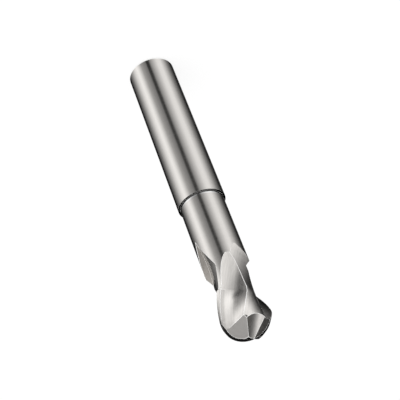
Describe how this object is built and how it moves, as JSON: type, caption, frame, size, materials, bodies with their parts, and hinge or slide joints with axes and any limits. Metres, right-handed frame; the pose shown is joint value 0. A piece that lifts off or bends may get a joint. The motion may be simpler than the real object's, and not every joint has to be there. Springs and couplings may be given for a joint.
{
  "type": "ball nose end mill",
  "caption": "Solid carbide end mill with a ball nose, helical flutes, relieved neck and plain cylindrical shank.",
  "frame": {"origin": "centre of the shank's flat end face", "axes": "+Z along the tool's axis from the shank end to the ball's tip; -Y is the side that shows one flute's floor, as in the picture; +X to its right"},
  "size_m": [0.012, 0.012, 0.083],
  "materials": {
    "carbide": "ground and polished bare cemented carbide"
  },
  "bodies": {
    "root": {"end_mill": "carbide"}
  },
  "joints": []
}
